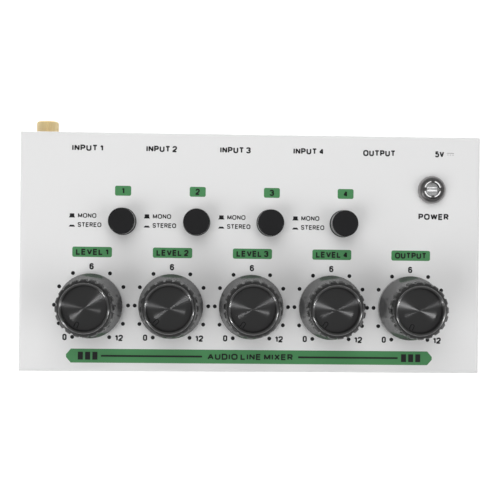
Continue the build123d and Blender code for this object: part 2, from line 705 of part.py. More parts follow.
with BuildPart() as led_bezel:
    with BuildSketch(upright(LAMP_X, LAMP_Y, PANEL_TOP)):
        with BuildLine():
            wall_top = (BEZEL_RADIUS, BEZEL_WALL_HEIGHT)
            rim = (BEZEL_RIM_RADIUS, BEZEL_HEIGHT)
            shelf = LAMP_FOOT + LAMP_FLANGE_HEIGHT - PANEL_TOP
            ThreePointArc(wall_top, BEZEL_RIM_CURVE, rim)
            Polyline(
                rim,
                (LAMP_THROAT_RADIUS + BEZEL_THROAT_EDGE, BEZEL_HEIGHT),
                (LAMP_THROAT_RADIUS, BEZEL_HEIGHT - BEZEL_THROAT_EDGE),
                (LAMP_THROAT_RADIUS, shelf),
                (LAMP_FLANGE_RADIUS + RUNNING_GAP, shelf),
                (LAMP_FLANGE_RADIUS + RUNNING_GAP, -BEZEL_TUBE_DEPTH),
                (BEZEL_TUBE_RADIUS, -BEZEL_TUBE_DEPTH),
                (BEZEL_TUBE_RADIUS, 0),
                (BEZEL_RADIUS, 0),
                wall_top,
            )
        make_face()
    revolve(axis=vertical(LAMP_X, LAMP_Y))
led_bezel.part.label = "led_bezel"
export_step(led_bezel.part, "parts/led_bezel.step")

with BuildPart() as led_bezel_nut:
    with BuildSketch(Plane.XY.offset(PANEL_UNDERSIDE - BEZEL_NUT_HEIGHT)):
        with Locations((LAMP_X, LAMP_Y)):
            RegularPolygon(BEZEL_NUT_ACROSS_FLATS / 2, 6, major_radius=False)
            Circle(BEZEL_TUBE_RADIUS + RUNNING_GAP, mode=Mode.SUBTRACT)
    extrude(amount=BEZEL_NUT_HEIGHT)
led_bezel_nut.part.label = "led_bezel_nut"
export_step(led_bezel_nut.part, "parts/led_bezel_nut.step")

with BuildPart() as power_led:
    with BuildSketch(upright(LAMP_X, LAMP_Y, 0)):
        with BuildLine():
            dome_foot = PANEL_TOP + LAMP_TOP - LAMP_RADIUS
            Polyline(
                (0, PANEL_TOP + LAMP_TOP),
                (0, LAMP_FOOT),
                (LAMP_FLANGE_RADIUS, LAMP_FOOT),
                (LAMP_FLANGE_RADIUS, LAMP_FOOT + LAMP_FLANGE_HEIGHT),
                (LAMP_RADIUS, LAMP_FOOT + LAMP_FLANGE_HEIGHT),
                (LAMP_RADIUS, dome_foot),
            )
            ThreePointArc(
                (LAMP_RADIUS, dome_foot),
                (LAMP_RADIUS * sin(pi / 4), dome_foot + LAMP_RADIUS * cos(pi / 4)),
                (0, PANEL_TOP + LAMP_TOP),
            )
        make_face()
    revolve(axis=vertical(LAMP_X, LAMP_Y))
    with BuildSketch(Plane.XY.offset(BOARD_UNDERSIDE - PIN_DEPTH)):
        with Locations(
            (LAMP_X - LAMP_LEAD_PITCH / 2, LAMP_Y),
            (LAMP_X + LAMP_LEAD_PITCH / 2, LAMP_Y),
        ):
            Rectangle(LAMP_LEAD_SIDE, LAMP_LEAD_SIDE)
    extrude(amount=LAMP_FOOT + LAMP_LEAD_EMBED - BOARD_UNDERSIDE + PIN_DEPTH)
power_led.part.label = "power_led"
export_step(power_led.part, "parts/power_led.step")

# ---- 6.35 mm jacks, hung under the board behind the rear wall ----

JACK_MOUTH = REAR_INNER - JACK_WALL_GAP


def jack(x):
    """A moulded jack body with its bore, and side slots above and below for the contact springs."""
    slot_height = JACK_HEIGHT / 2 - JACK_BORE_RADIUS - JACK_SLOT_COVER
    slot_level = JACK_BORE_RADIUS + slot_height / 2
    with BuildPart() as body:
        with BuildSketch(rearward(x, JACK_MOUTH, JACK_Z)):
            Rectangle(JACK_WIDTH, JACK_HEIGHT)
        extrude(amount=-JACK_LENGTH)
        chamfer(body.edges().filter_by(Axis.Y), MOULD_EDGE)
        with BuildSketch(rearward(x, JACK_MOUTH, JACK_Z)):
            Circle(JACK_BORE_RADIUS)
        extrude(amount=-JACK_LENGTH, mode=Mode.SUBTRACT)
        chamfer(
            body.faces().sort_by(Axis.Y)[-1].edges().filter_by(GeomType.CIRCLE),
            JACK_BEZEL_STEP,
        )
        for offset_from_mouth in CONTACT_OFFSETS:
            with BuildSketch(rearward(x, JACK_MOUTH - offset_from_mouth, JACK_Z)):
                with Locations((0, slot_level), (0, -slot_level)):
                    Rectangle(CONTACT_WIDTH + 2 * SLOT_CLEARANCE, slot_height + 2 * SLOT_CLEARANCE)
            extrude(amount=-CONTACT_LENGTH - 2 * SLOT_CLEARANCE, mode=Mode.SUBTRACT)
    return body


for number, input_x in enumerate(INPUT_XS, start=1):
    input_jack = jack(input_x)
    input_jack.part.label = f"input_jack_{number}"
    export_step(input_jack.part, f"parts/input_jack_{number}.step")

output_jack = jack(OUTPUT_X)
output_jack.part.label = "output_jack"
export_step(output_jack.part, "parts/output_jack.step")

with BuildPart() as jack_contacts:
    spring_level = JACK_BORE_RADIUS + CONTACT_LIFT
    for jack_x in JACK_XS:
        for offset_from_mouth in CONTACT_OFFSETS:
            with BuildSketch(rearward(jack_x, JACK_MOUTH - offset_from_mouth - SLOT_CLEARANCE, JACK_Z)):
                with Locations((0, spring_level), (0, -spring_level)):
                    Rectangle(CONTACT_WIDTH, CONTACT_THICKNESS)
            extrude(amount=-CONTACT_LENGTH)
jack_contacts.part.label = "jack_contacts"
export_step(jack_contacts.part, "parts/jack_contacts.step")

# ---- 5 V power socket ----

with BuildPart() as power_socket:
    with BuildSketch(rearward(POWER_X, JACK_MOUTH, BOARD_UNDERSIDE - POWER_HEIGHT / 2)):
        Rectangle(POWER_WIDTH, POWER_HEIGHT)
    extrude(amount=-POWER_LENGTH)
    chamfer(power_socket.edges().filter_by(Axis.Y), MOULD_EDGE)
    with BuildSketch(rearward(POWER_X, JACK_MOUTH, POWER_Z)):
        Circle(POWER_BORE_RADIUS)
    extrude(amount=-POWER_BORE_DEPTH, mode=Mode.SUBTRACT)
    with BuildSketch(rearward(POWER_X, JACK_MOUTH, POWER_Z)):
        Circle(POWER_PIN_RADIUS)
    extrude(amount=-POWER_LENGTH, mode=Mode.SUBTRACT)
power_socket.part.label = "power_socket"
export_step(power_socket.part, "parts/power_socket.step")

with BuildPart() as power_pin:
    with BuildSketch(rearward(POWER_X, JACK_MOUTH - POWER_LENGTH, POWER_Z)):
        Circle(POWER_PIN_RADIUS)
    extrude(amount=POWER_LENGTH - POWER_PIN_RECESS)
    fillet(power_pin.faces().sort_by(Axis.Y)[-1].edges(), POWER_PIN_RADIUS / 2)
    # the solder tab behind the pin, bent up to the board
    with BuildSketch(rearward(POWER_X, JACK_MOUTH - POWER_LENGTH, POWER_Z)):
        with Locations((0, (BOARD_UNDERSIDE - POWER_Z - POWER_PIN_RADIUS) / 2)):
            Rectangle(2 * POWER_PIN_RADIUS, BOARD_UNDERSIDE - POWER_Z + POWER_PIN_RADIUS)
    extrude(amount=-CONTACT_THICKNESS)
power_pin.part.label = "power_pin"
export_step(power_pin.part, "parts/power_pin.step")

# ---- earth terminal: post, washer, thumb nut, lug, inner nut ----

FLANGE_REAR = REAR_OUTER + FLANGE_THICKNESS
WASHER_REAR = FLANGE_REAR + WASHER_THICKNESS
TERMINAL_END = REAR_OUTER + TERMINAL_REACH

with BuildPart() as ground_post:
    with BuildSketch(rearward(TERMINAL_X, REAR_INNER - STUD_INSIDE, TERMINAL_Z)):
        Circle(STUD_RADIUS)
    extrude(amount=STUD_INSIDE + SHEET + TERMINAL_REACH - STUD_END_RECESS)
    chamfer(ground_post.edges().filter_by(GeomType.CIRCLE), FINE_EDGE)
    with BuildSketch(rearward(TERMINAL_X, REAR_OUTER, TERMINAL_Z)):
        Circle(FLANGE_RADIUS)
    extrude(amount=FLANGE_THICKNESS)
ground_post.part.label = "ground_post"
export_step(ground_post.part, "parts/ground_post.step")

with BuildPart() as ground_washer:
    with BuildSketch(rearward(TERMINAL_X, FLANGE_REAR, TERMINAL_Z)):
        Circle(WASHER_RADIUS)
        Circle(STUD_RADIUS + RUNNING_GAP, mode=Mode.SUBTRACT)
    extrude(amount=WASHER_THICKNESS)
ground_washer.part.label = "ground_washer"
export_step(ground_washer.part, "parts/ground_washer.step")

with BuildPart() as ground_thumb_nut:
    with BuildSketch(rearward(TERMINAL_X, WASHER_REAR, TERMINAL_Z)):
        Circle(THUMB_NUT_RADIUS)
    extrude(amount=TERMINAL_END - WASHER_REAR)
    chamfer(ground_thumb_nut.faces().sort_by(Axis.Y)[-1].edges(), THUMB_NUT_CHAMFER)
    with BuildSketch(rearward(TERMINAL_X, WASHER_REAR, TERMINAL_Z)):
        Circle(STUD_RADIUS + RUNNING_GAP)
        with PolarLocations(THUMB_NUT_RADIUS, KNURL_COUNT):
            Rectangle(KNURL_SIDE, KNURL_SIDE, rotation=KNURL_TURN)
    extrude(amount=TERMINAL_REACH, mode=Mode.SUBTRACT)
ground_thumb_nut.part.label = "ground_thumb_nut"
export_step(ground_thumb_nut.part, "parts/ground_thumb_nut.step")

with BuildPart() as ground_lug:
    with BuildSketch(rearward(TERMINAL_X, REAR_INNER, TERMINAL_Z)):
        Circle(LUG_RADIUS)
        with Locations((0, -LUG_TAIL_LENGTH / 2)):
            Rectangle(LUG_TAIL_WIDTH, LUG_TAIL_LENGTH)
        Circle(STUD_RADIUS + RUNNING_GAP, mode=Mode.SUBTRACT)
        with Locations((0, -LUG_TAIL_LENGTH + LUG_TAIL_WIDTH / 2)):
            Circle(WIRE_HOLE_RADIUS, mode=Mode.SUBTRACT)
    extrude(amount=-LUG_THICKNESS)
ground_lug.part.label = "ground_lug"
export_step(ground_lug.part, "parts/ground_lug.step")

with BuildPart() as ground_inner_nut:
    with BuildSketch(rearward(TERMINAL_X, REAR_INNER - LUG_THICKNESS, TERMINAL_Z)):
        RegularPolygon(INNER_NUT_ACROSS_FLATS / 2, 6, major_radius=False)
        Circle(STUD_RADIUS + RUNNING_GAP, mode=Mode.SUBTRACT)
    extrude(amount=-INNER_NUT_HEIGHT)
ground_inner_nut.part.label = "ground_inner_nut"
export_step(ground_inner_nut.part, "parts/ground_inner_nut.step")

# ---- earth wire: from the lug's hole forward past the first jack, then up to the board ----

WIRE_START_Z = TERMINAL_Z - LUG_TAIL_LENGTH + LUG_TAIL_WIDTH / 2
WIRE_TURN_Y = JACK_MOUTH - JACK_LENGTH - WIRE_JACK_GAP
WIRE_END_X = INPUT_XS[0] - WIRE_END_OFFSET

with BuildPart() as ground_wire:
    with BuildLine():
        FilletPolyline(
            (TERMINAL_X, REAR_INNER, WIRE_START_Z),
            (TERMINAL_X, WIRE_TURN_Y, WIRE_START_Z),
            (WIRE_END_X, WIRE_TURN_Y, WIRE_START_Z),
            (WIRE_END_X, WIRE_TURN_Y, BOARD_UNDERSIDE),
            radius=WIRE_BEND,
        )
    with BuildSketch(rearward(TERMINAL_X, REAR_INNER, WIRE_START_Z)):
        Circle(WIRE_RADIUS)
    sweep()
ground_wire.part.label = "ground_wire"
export_step(ground_wire.part, "parts/ground_wire.step")
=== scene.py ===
"""The looks of a small desktop line mixer: white folded steel case, five level controls, four push buttons.

Metres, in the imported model's frame: +Z up, +Y to the rear, +X to the user's right.
Sizes written as millimetres are multiplied by MM where they are used.
"""

import json
import math

import bmesh
import bpy
from mathutils import Euler, Matrix, Vector


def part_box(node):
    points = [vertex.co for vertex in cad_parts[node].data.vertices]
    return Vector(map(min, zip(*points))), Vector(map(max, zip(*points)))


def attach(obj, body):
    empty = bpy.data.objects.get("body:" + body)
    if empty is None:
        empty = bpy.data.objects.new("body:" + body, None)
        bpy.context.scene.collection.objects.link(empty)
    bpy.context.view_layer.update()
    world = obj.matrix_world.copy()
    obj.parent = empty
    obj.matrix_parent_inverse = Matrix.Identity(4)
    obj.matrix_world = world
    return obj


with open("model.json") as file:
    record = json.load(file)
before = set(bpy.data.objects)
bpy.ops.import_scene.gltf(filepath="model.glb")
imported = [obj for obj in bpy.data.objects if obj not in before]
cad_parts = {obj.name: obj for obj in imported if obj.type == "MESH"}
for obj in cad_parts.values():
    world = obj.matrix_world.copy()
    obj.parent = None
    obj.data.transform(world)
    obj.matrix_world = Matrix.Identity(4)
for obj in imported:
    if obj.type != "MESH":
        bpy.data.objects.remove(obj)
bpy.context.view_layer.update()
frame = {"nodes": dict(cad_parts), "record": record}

MM = 0.001
BODIES = frame["record"]["behaviour"]["bodies"]


def middle(node):
    """The centre of a CAD node's box."""
    low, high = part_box(node)
    return (low + high) / 2


def numbered(stem):
    """The CAD nodes named stem_1, stem_2 and so on, in order."""
    start = stem + "_"
    found = [name for name in frame["nodes"] if name.startswith(start) and name[len(start):].isdigit()]
    return sorted(found, key=lambda name: int(name[len(start):]))


PANEL_LOW, PANEL_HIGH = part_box("housing_cover")
PANEL_CENTRE = (PANEL_LOW + PANEL_HIGH) / 2
PANEL_Z = PANEL_HIGH.z
DISCS = numbered("knob_disc")
BUTTONS = numbered("button_cap")
INPUTS = numbered("input_jack")

# ---- camera: straight above, a little left of the middle ----

CAMERA_OFFSET = Vector((-13.8, 0.5, 322.0)) * MM  # from the middle of the panel's top face
CAMERA_TURN = (math.radians(0.10), math.radians(-2.37), math.radians(0.58))
SENSOR_WIDTH = 36.0  # millimetres, as Blender takes both
FOCAL_LENGTH = 72.835
NEAREST_SEEN = 0.01

camera_data = bpy.data.cameras.new("camera")
camera_data.sensor_width = SENSOR_WIDTH
camera_data.lens = FOCAL_LENGTH
camera_data.clip_start = NEAREST_SEEN
camera = bpy.data.objects.new("camera", camera_data)
camera.rotation_mode = "ZYX"
camera.rotation_euler = Euler(CAMERA_TURN, "ZYX")
camera.location = Vector((PANEL_CENTRE.x, PANEL_CENTRE.y, PANEL_Z)) + CAMERA_OFFSET
bpy.context.scene.collection.objects.link(camera)
bpy.context.scene.camera = camera

# ---- light: large soft boxes that only shade, small ones that only make highlights, and a dim room ----


def area_light(name, azimuth, elevation, distance, size, power, glossy=True, diffuse=True):
    """A square soft box aimed at the panel. Azimuth runs anticlockwise from +X. glossy and diffuse say which
    kinds of reflection it makes."""
    data = bpy.data.lights.new(name, "AREA")
    data.shape = "SQUARE"
    data.size = size
    data.energy = power
    light = bpy.data.objects.new(name, data)
    flat = math.cos(math.radians(elevation)) * distance
    towards = Vector((
        flat * math.cos(math.radians(azimuth)),
        flat * math.sin(math.radians(azimuth)),
        math.sin(math.radians(elevation)) * distance,
    ))
    light.location = PANEL_CENTRE + towards
    light.rotation_euler = (-towards).to_track_quat("-Z", "Y").to_euler()
    light.visible_glossy = glossy
    light.visible_diffuse = diffuse
    bpy.context.scene.collection.objects.link(light)


FRONT_LEFT = {"azimuth": 214, "elevation": 42, "distance": 0.95}
RIGHT = {"azimuth": -18, "elevation": 42, "distance": 0.95}
REAR = {"azimuth": 100, "elevation": 55, "distance": 0.70}
BOX_SIZE = 0.70
SPOT_SIZE = 0.10
SPOT_POWER = 1.5
ROOM_STRENGTH = 0.16

area_light("front_left_box", **FRONT_LEFT, size=BOX_SIZE, power=3.6, glossy=False)
area_light("right_box", **RIGHT, size=BOX_SIZE, power=2.5, glossy=False)
area_light("rear_box", **REAR, size=BOX_SIZE, power=2.8, glossy=False)
area_light("front_left_spot", **FRONT_LEFT, size=SPOT_SIZE, power=SPOT_POWER, diffuse=False)
area_light("right_spot", **RIGHT, size=SPOT_SIZE, power=SPOT_POWER, diffuse=False)

world = bpy.data.worlds.new("room")
world.use_nodes = True
background = world.node_tree.nodes["Background"]
background.inputs["Color"].default_value = (1, 1, 1, 1)
background.inputs["Strength"].default_value = ROOM_STRENGTH
bpy.context.scene.world = world
bpy.context.scene.view_settings.view_transform = "Standard"

# ---- materials ----


def node(tree, kind, **settings):
    """A new shader node with some of its properties set."""
    made = tree.nodes.new(kind)
    for key, value in settings.items():
        setattr(made, key, value)
    return made


DRIFT_DETAIL = 4
DRIFT_WEAR = 0.05  # how far the roughness drifts each way, where a finish doesn't say


def finish(name, colour, roughness, metallic=0.0, mottle=0.05, mottle_mm=8.0, grain_mm=0.5,
           grain_depth_mm=0.004, wear=DRIFT_WEAR, **sockets):
    """A material whose colour and roughness drift over mottle_mm, with a fine grain of grain_mm in relief.
    sockets are further constant inputs of the shader, such as Coat_Weight=0.3."""
    material = bpy.data.materials.new(name)
    material.use_nodes = True
    tree = material.node_tree
    shader = tree.nodes["Principled BSDF"]
    shader.inputs["Metallic"].default_value = metallic
    for key, value in sockets.items():
        shader.inputs[key.replace("_", " ")].default_value = value

    place = node(tree, "ShaderNodeTexCoord")
    drift = node(tree, "ShaderNodeTexNoise")
    drift.inputs["Scale"].default_value = 1 / (mottle_mm * MM)
    drift.inputs["Detail"].default_value = DRIFT_DETAIL
    tree.links.new(place.outputs["Object"], drift.inputs["Vector"])

    tint = node(tree, "ShaderNodeMix", data_type="RGBA")
    tint.inputs["A"].default_value = (*[c * (1 - mottle) for c in colour], 1)
    tint.inputs["B"].default_value = (*[min(1, c * (1 + mottle)) for c in colour], 1)
    tree.links.new(drift.outputs["Fac"], tint.inputs["Factor"])
    tree.links.new(tint.outputs["Result"], shader.inputs["Base Color"])

    gloss = node(tree, "ShaderNodeMapRange")
    gloss.inputs["To Min"].default_value = max(0, roughness - wear)
    gloss.inputs["To Max"].default_value = min(1, roughness + wear)
    tree.links.new(drift.outputs["Fac"], gloss.inputs["Value"])
    tree.links.new(gloss.outputs["Result"], shader.inputs["Roughness"])

    grain = node(tree, "ShaderNodeTexNoise")
    grain.inputs["Scale"].default_value = 1 / (grain_mm * MM)
    tree.links.new(place.outputs["Object"], grain.inputs["Vector"])
    relief = node(tree, "ShaderNodeBump")
    relief.inputs["Distance"].default_value = grain_depth_mm * MM
    tree.links.new(grain.outputs["Fac"], relief.inputs["Height"])
    tree.links.new(relief.outputs["Normal"], shader.inputs["Normal"])
    return material


RING_DENSITY = 60  # turned rings across a piece's width
RING_DETAIL = 3
RING_GLOSS = 0.04  # how far the rings' roughness varies each way
QUARTER_TURN = 0.25  # of the highlights, so that they fan out towards the lights


def spun(name, colour, roughness, rim_colour, rim_starts):
    """Black metal turned on a lathe: fine rings about each piece's own middle, highlights that fan out from
    it, and a bare bright rim beyond rim_starts, a fraction of the piece's width."""
    material = finish(name, colour, roughness, metallic=1.0, grain_mm=0.3, grain_depth_mm=0.0002,
                      Anisotropic=1.0, Anisotropic_Rotation=QUARTER_TURN)
    tree = material.node_tree
    shader = tree.nodes["Principled BSDF"]
    tangent = node(tree, "ShaderNodeTangent", direction_type="RADIAL", axis="Z")
    tree.links.new(tangent.outputs["Tangent"], shader.inputs["Tangent"])

    place = node(tree, "ShaderNodeTexCoord")
    offset = node(tree, "ShaderNodeVectorMath", operation="SUBTRACT")
    offset.inputs[1].default_value = (0.5, 0.5, 0)
    flatten = node(tree, "ShaderNodeVectorMath", operation="MULTIPLY")
    flatten.inputs[1].default_value = (1, 1, 0)
    radius = node(tree, "ShaderNodeVectorMath", operation="LENGTH")
    rings = node(tree, "ShaderNodeTexNoise", noise_dimensions="1D")
    rings.inputs["Scale"].default_value = RING_DENSITY
    rings.inputs["Detail"].default_value = RING_DETAIL
    gloss = node(tree, "ShaderNodeMapRange")
    gloss.inputs["To Min"].default_value = roughness - RING_GLOSS
    gloss.inputs["To Max"].default_value = roughness + RING_GLOSS
    tree.links.new(place.outputs["Generated"], offset.inputs[0])
    tree.links.new(offset.outputs["Vector"], flatten.inputs[0])
    tree.links.new(flatten.outputs["Vector"], radius.inputs[0])
    tree.links.new(radius.outputs["Value"], rings.inputs["W"])
    tree.links.new(rings.outputs["Fac"], gloss.inputs["Value"])
    tree.links.new(gloss.outputs["Result"], shader.inputs["Roughness"])

    on_rim = node(tree, "ShaderNodeMath", operation="GREATER_THAN")
    on_rim.inputs[1].default_value = rim_starts
    bright = node(tree, "ShaderNodeMix", data_type="RGBA")
    bright.inputs["B"].default_value = (*rim_colour, 1)
    tree.links.new(radius.outputs["Value"], on_rim.inputs[0])
    tree.links.new(on_rim.outputs["Value"], bright.inputs["Factor"])
    tree.links.new(shader.inputs["Base Color"].links[0].from_socket, bright.inputs["A"])
    tree.links.new(bright.outputs["Result"], shader.inputs["Base Color"])
    return material


SKIRT_REFLECTION_BLEND = 0.01  # half the height over which the skirt's painted reflection and gloss turn into the grip's, as a fraction of the piece's


def moulding_with_painted_skirt_reflection(name, colour, upper_colour, starts, roughness, upper_roughness, **sockets):
    """A moulding that changes gloss at starts, a fraction of the piece's height, and is painted another
    colour below it as a painted reflection of the white panel in the skirt.
    """
    material = finish(name, colour, roughness, mottle=0.10, mottle_mm=4, grain_mm=0.8, grain_depth_mm=0.0005,
                      wear=0.03, **sockets)
    tree = material.node_tree
    shader = tree.nodes["Principled BSDF"]
    place = node(tree, "ShaderNodeTexCoord")
    split = node(tree, "ShaderNodeSeparateXYZ")
    above = node(tree, "ShaderNodeMapRange")
    above.inputs["From Min"].default_value = starts - SKIRT_REFLECTION_BLEND
    above.inputs["From Max"].default_value = starts + SKIRT_REFLECTION_BLEND
    tree.links.new(place.outputs["Generated"], split.inputs["Vector"])
    tree.links.new(split.outputs["Z"], above.inputs["Value"])

    painted_reflection_mix = node(tree, "ShaderNodeMix", data_type="RGBA")
    painted_reflection_mix.inputs["B"].default_value = (*upper_colour, 1)
    gloss = node(tree, "ShaderNodeMix", data_type="FLOAT")
    gloss.inputs["B"].default_value = upper_roughness
    for mix, socket in ((painted_reflection_mix, "Base Color"), (gloss, "Roughness")):
        tree.links.new(above.outputs["Result"], mix.inputs["Factor"])
        tree.links.new(shader.inputs[socket].links[0].from_socket, mix.inputs["A"])
        tree.links.new(mix.outputs["Result"], shader.inputs[socket])
    return material


GRIP_STARTS = 0.74  # foot of the knob's fluted grip, as a fraction of the knob's height; below it the skirt's grey is painted reflection
RIM_STARTS = 0.452  # inner edge of the disc's rim, as a fraction of the disc's width

PAINT = finish("white_powder_coat", (0.86, 0.86, 0.86), 0.42, mottle=0.012, mottle_mm=30, grain_mm=0.35,
               grain_depth_mm=0.003)
GREEN_INK = finish("green_ink", (0.072, 0.265, 0.100), 0.45, mottle=0.05, mottle_mm=3, grain_mm=0.35,
                   grain_depth_mm=0.003)
BLACK_INK = finish("black_ink", (0.010, 0.010, 0.011), 0.50, mottle=0.10, mottle_mm=3, grain_mm=0.35,
                   grain_depth_mm=0.003)
# the skirt's grey (0.095) is painted reflection of the white panel; the moulding itself is black like the
# grip (0.010)
KNOB_PLASTIC = moulding_with_painted_skirt_reflection("gloss_black_moulding", (0.095, 0.095, 0.096), (0.010, 0.010, 0.010),
                        starts=GRIP_STARTS, roughness=0.09, upper_roughness=0.45, Specular_IOR_Level=0.8,
                        IOR=1.7)
BUTTON_PLASTIC = finish("gloss_black_cap", (0.016, 0.016, 0.017), 0.18, mottle=0.10, mottle_mm=4,
                        grain_mm=0.8, grain_depth_mm=0.001)
SPUN_BLACK = spun("spun_black_metal", (0.22, 0.22, 0.222), 0.30, rim_colour=(0.38, 0.38, 0.38),
                  rim_starts=RIM_STARTS)
BEZEL_METAL = finish("dark_satin_metal", (0.36, 0.35, 0.35), 0.34, metallic=1.0, mottle=0.06, mottle_mm=2,
                     grain_mm=0.3, grain_depth_mm=0.001)
GOLD = finish("gold_plate", (1.0, 0.80, 0.46), 0.30, metallic=0.45, mottle=0.05, mottle_mm=3, grain_mm=0.3,
              grain_depth_mm=0.001)
STEEL = finish("zinc_plated_steel", (0.62, 0.62, 0.63), 0.32, metallic=1.0, mottle=0.10, mottle_mm=5,
               grain_mm=0.25, grain_depth_mm=0.002)
BRASS = finish("turned_brass", (0.72, 0.52, 0.22), 0.30, metallic=1.0, mottle=0.06, mottle_mm=3, grain_mm=0.2,
               grain_depth_mm=0.002)
TINNED = finish("tinned_metal", (0.70, 0.68, 0.64), 0.30, metallic=1.0, mottle=0.06, mottle_mm=2,
                grain_mm=0.3, grain_depth_mm=0.002)
RUBBER = finish("black_rubber", (0.025, 0.025, 0.026), 0.75, mottle=0.15, mottle_mm=2, grain_mm=0.3,
                grain_depth_mm=0.01)
SOCKET_PLASTIC = finish("black_nylon", (0.025, 0.025, 0.026), 0.45, mottle=0.10, mottle_mm=3, grain_mm=0.3,
                        grain_depth_mm=0.005)
STEM_PLASTIC = finish("natural_nylon", (0.62, 0.61, 0.57), 0.45, mottle=0.04, mottle_mm=2, grain_mm=0.3,
                      grain_depth_mm=0.003)
LAMINATE = finish("green_solder_mask", (0.015, 0.11, 0.045), 0.30, mottle=0.20, mottle_mm=3, grain_mm=0.8,
                  grain_depth_mm=0.004)
WIRE_SLEEVE = finish("green_wire_sleeve", (0.02, 0.22, 0.05), 0.35, mottle=0.05, mottle_mm=3)
CHIP_EPOXY = finish("chip_epoxy", (0.02, 0.02, 0.02), 0.55, mottle=0.10, mottle_mm=1, grain_mm=0.1)
CAPACITOR_SLEEVE = finish("capacitor_sleeve", (0.02, 0.03, 0.09), 0.30, mottle=0.08, mottle_mm=3)
CLEAR_EPOXY = finish("clear_epoxy", (0.94, 0.94, 0.95), 0.03, mottle=0.01, wear=0.01, grain_depth_mm=0.0,
                     Transmission_Weight=1.0, IOR=1.5)
REFLECTOR = finish("silvered_lead_frame", (0.62, 0.62, 0.62), 0.45, metallic=0.3, mottle=0.05, mottle_mm=0.5,
                   grain_mm=0.1, grain_depth_mm=0.001)
# white plastic with a painted glow: the emission lights the clip ring and lead frame inside the lamp in place
# of real light
CLIP_PLASTIC_WITH_PAINTED_GLOW = finish("white_clip_painted_glow", (0.88, 0.88, 0.88), 0.25, mottle=0.03, mottle_mm=1,
                      Emission_Color=(1, 1, 1, 1), Emission_Strength=0.35)

SLOT_MATERIALS = {
    "white_paint": PAINT,
    "zinc_plate": STEEL,
    "foot_rubber": RUBBER,
    "zinc_steel": STEEL,
    "board_laminate": LAMINATE,
    "brass": BRASS,
    "knob_plastic": KNOB_PLASTIC,
    "spun_black_disc": SPUN_BLACK,
    "pot_steel": STEEL,
    "button_plastic": BUTTON_PLASTIC,
    "switch_plastic": SOCKET_PLASTIC,
    "stem_plastic": STEM_PLASTIC,
    "bezel_metal": BEZEL_METAL,
    "clear_lens": CLEAR_EPOXY,
    "socket_plastic": SOCKET_PLASTIC,
    "contact_metal": TINNED,
    "gold_plate": GOLD,
    "wire_sleeve": WIRE_SLEEVE,
    "chip_plastic": CHIP_EPOXY,
    "capacitor_sleeve": CAPACITOR_SLEEVE,
}

for subpart in frame["record"]["subparts"]:
    cad_object = frame["nodes"][subpart["node"]]
    cad_object.data.materials.clear()
    cad_object.data.materials.append(SLOT_MATERIALS[subpart["material_slot"]])

# ---- mesh helpers ----


def as_object(name, mesh_builder, material, body):
    """Turns a bmesh into a piece that rides on a body and takes the given material."""
    bmesh.ops.recalc_face_normals(mesh_builder, faces=mesh_builder.faces)
    mesh = bpy.data.meshes.new(name)
    mesh_builder.to_mesh(mesh)
    mesh_builder.free()
    mesh.materials.append(material)
    piece = bpy.data.objects.new(name, mesh)
    bpy.context.scene.collection.objects.link(piece)
    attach(piece, body)


def add_prism(builder, outline, low, high):
    """A closed slab with a straight-sided outline, between two heights."""
    rings = [[builder.verts.new((x, y, z)) for x, y in outline] for z in (low, high)]
    builder.faces.new(rings[0])
    builder.faces.new(rings[1])
    count = len(outline)
    for n in range(count):
        after = (n + 1) % count
        builder.faces.new((rings[0][n], rings[0][after], rings[1][after], rings[1][n]))


def circle_points(x, y, radius, count):
    """The outline of a circle as count points."""
    return [
        (x + radius * math.cos(math.tau * n / count), y + radius * math.sin(math.tau * n / count))
        for n in range(count)
    ]


def rounded_points(x, y, width, height, radius, steps=5):
    """The outline of a rectangle with round corners, about its centre."""
    points = []
    for corner, (sx, sy) in enumerate(((1, 1), (-1, 1), (-1, -1), (1, -1))):
        cx = x + sx * (width / 2 - radius)
        cy = y + sy * (height / 2 - radius)
        for step in range(steps + 1):
            angle = math.pi / 2 * (corner + step / steps)
            points.append((cx + radius * math.cos(angle), cy + radius * math.sin(angle)))
    return points


